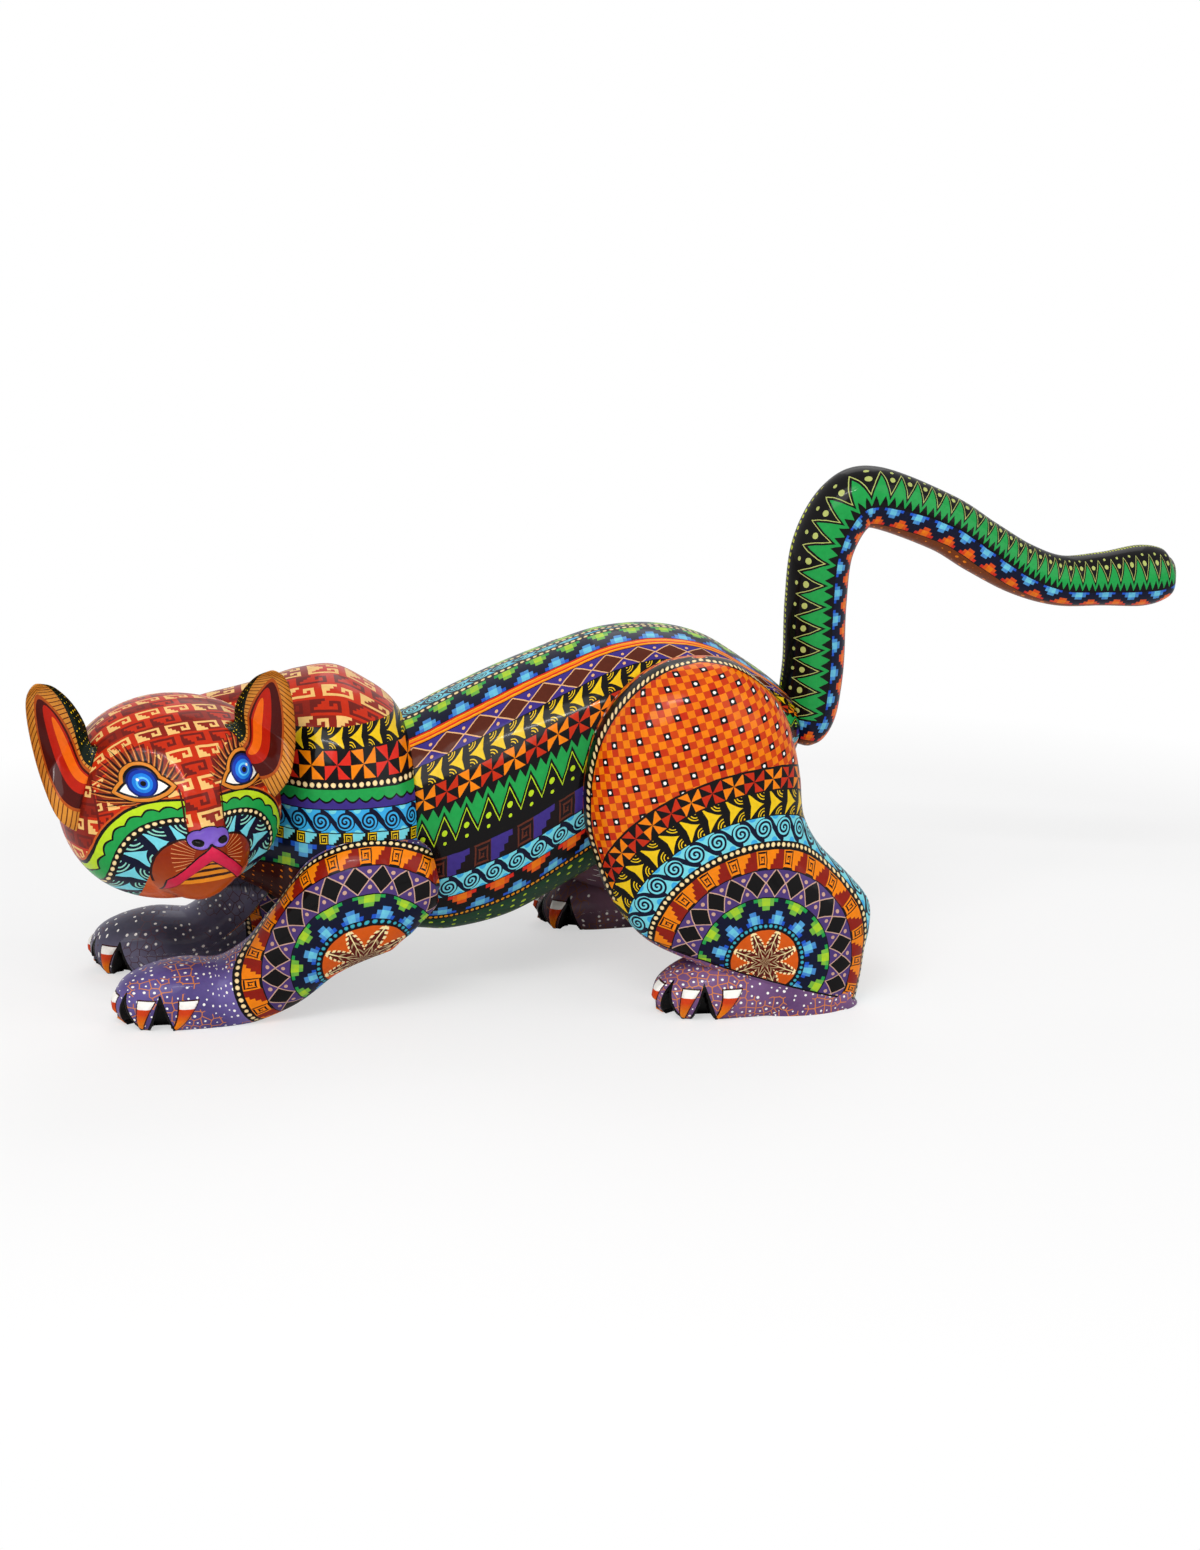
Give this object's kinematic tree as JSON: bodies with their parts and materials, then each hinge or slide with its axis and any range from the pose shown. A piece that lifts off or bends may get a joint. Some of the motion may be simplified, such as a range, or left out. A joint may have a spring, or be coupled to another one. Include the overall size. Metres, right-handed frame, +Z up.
{
  "type": "carved wooden feline figure",
  "caption": "Crouching feline carved from doweled wood blocks and painted in folk patterns, head turned aside, ears and curved tail pegged in place.",
  "frame": {"origin": "on the floor, under the middle of the figure's length and width", "axes": "+X towards the tail, -Y towards the figure's left side and the face, +Z up"},
  "size_m": [0.573, 0.1934, 0.2522],
  "materials": {
    "trunk_paint": "painted, gloss varnish",
    "chest_block_paint": "painted, gloss varnish",
    "head_block_paint": "painted, gloss varnish",
    "left_front_leg_paint": "painted, gloss varnish",
    "right_front_leg_paint": "painted, gloss varnish",
    "left_hind_leg_paint": "painted, gloss varnish",
    "right_hind_leg_paint": "painted, gloss varnish",
    "ear_paint": "painted, gloss varnish",
    "tail_paint": "painted, gloss varnish",
    "bare_wood": "bare, unpainted"
  },
  "bodies": {
    "figure": {"trunk": "trunk_paint", "chest_block": "chest_block_paint", "head_block": "head_block_paint", "left_front_leg": "left_front_leg_paint", "right_front_leg": "right_front_leg_paint", "left_hind_leg": "left_hind_leg_paint", "right_hind_leg": "right_hind_leg_paint", "chest_dowels": "bare_wood", "neck_dowels": "bare_wood", "left_shoulder_dowels": "bare_wood", "right_shoulder_dowels": "bare_wood", "left_hip_dowels": "bare_wood", "right_hip_dowels": "bare_wood"},
    "tail": {"tail": "tail_paint", "tail_peg": "bare_wood"},
    "left_ear": {"left_ear": "ear_paint", "left_ear_peg": "bare_wood"},
    "right_ear": {"right_ear": "ear_paint", "right_ear_peg": "bare_wood"}
  },
  "joints": [
    {"name": "tail_pull", "type": "slide", "parent": "figure", "child": "tail", "axis": [1, 0, 0], "range_m": [0, 0.034]},
    {"name": "left_ear_pull", "type": "slide", "parent": "figure", "child": "left_ear", "axis": [0.8432, -0.1235, 0.5233], "range_m": [0, 0.016]},
    {"name": "right_ear_pull", "type": "slide", "parent": "figure", "child": "right_ear", "axis": [-0.884, -0.3496, 0.3104], "range_m": [0, 0.016]}
  ]
}
